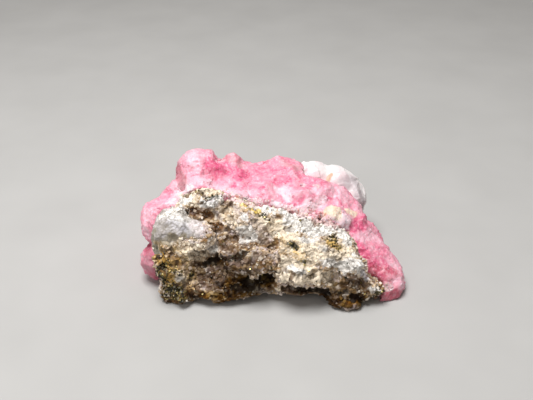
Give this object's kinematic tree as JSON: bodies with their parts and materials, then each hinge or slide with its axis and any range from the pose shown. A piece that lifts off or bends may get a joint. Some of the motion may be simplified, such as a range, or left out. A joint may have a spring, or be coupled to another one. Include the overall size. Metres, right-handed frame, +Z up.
{
  "type": "rhodochrosite crystal specimen",
  "caption": "Loose hand specimen: massive pink rhodochrosite on granular brown wall rock, with milky quartz swells, resting on its broken underside.",
  "frame": {"origin": "middle of the base of the specimen's box, on the surface it rests on", "axes": "+X to the right along the length, with the wall rock facing the viewer; -Y out of the wall rock's face; +Z up"},
  "size_m": [0.0496, 0.0302, 0.0201],
  "materials": {
    "rhodochrosite": "sugary broken surface, pearly, pale and deep pink",
    "matrix": "rough granular quartz and sulphide rock, cream, brown and ochre",
    "milky_quartz": "smooth milky white, waxy",
    "grey_quartz": "smooth greyish white, waxy"
  },
  "bodies": {
    "root": {"rhodochrosite": "rhodochrosite", "matrix": "matrix", "quartz_knob": "milky_quartz", "grey_quartz": "grey_quartz"}
  },
  "joints": []
}
